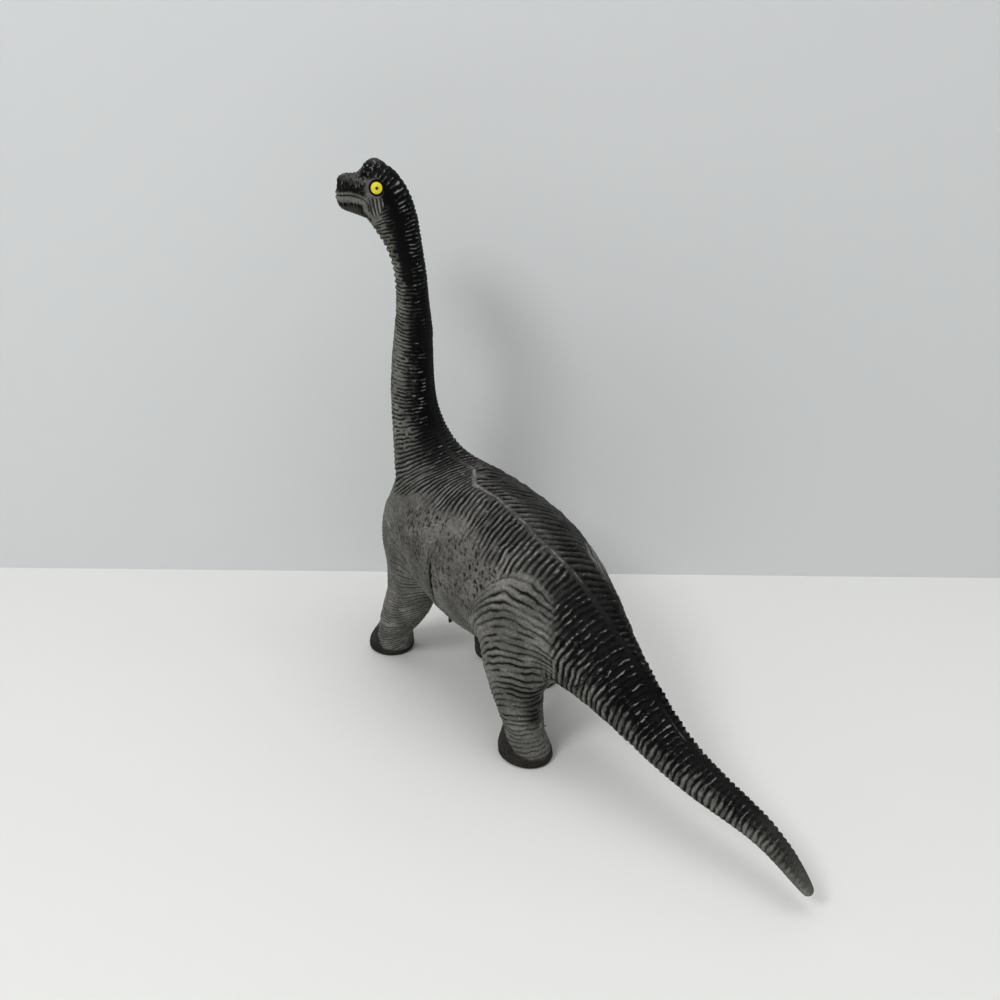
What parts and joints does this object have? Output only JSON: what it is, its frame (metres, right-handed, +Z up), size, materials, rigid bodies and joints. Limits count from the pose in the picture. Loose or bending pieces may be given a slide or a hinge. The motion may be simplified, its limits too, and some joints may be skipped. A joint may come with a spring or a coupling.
{
  "type": "toy dinosaur",
  "caption": "Long-necked, long-tailed toy dinosaur in stride: a hollow moulded rubber skin filled with fibre, with pressed-in button eyes and a plug in its belly.",
  "frame": {"origin": "on the floor, under the middle of the whole figure's box", "axes": "+X runs along the body from the tail's tip towards the head, +Y is the animal's left side, +Z is up"},
  "size_m": [0.3038, 0.0814, 0.2716],
  "materials": {
    "dark_skin": "satin",
    "black_rubber": "satin",
    "yellow_eye": "gloss",
    "white_fibre": "matte"
  },
  "bodies": {
    "root": {"skin": "dark_skin", "belly_plug": "black_rubber", "left_eye": "yellow_eye", "right_eye": "yellow_eye", "tail_fibre": "white_fibre", "trunk_fibre": "white_fibre", "neck_fibre": "white_fibre", "head_fibre": "white_fibre", "left_rear_leg_fibre": "white_fibre", "right_rear_leg_fibre": "white_fibre", "left_front_leg_fibre": "white_fibre", "right_front_leg_fibre": "white_fibre"}
  },
  "joints": []
}
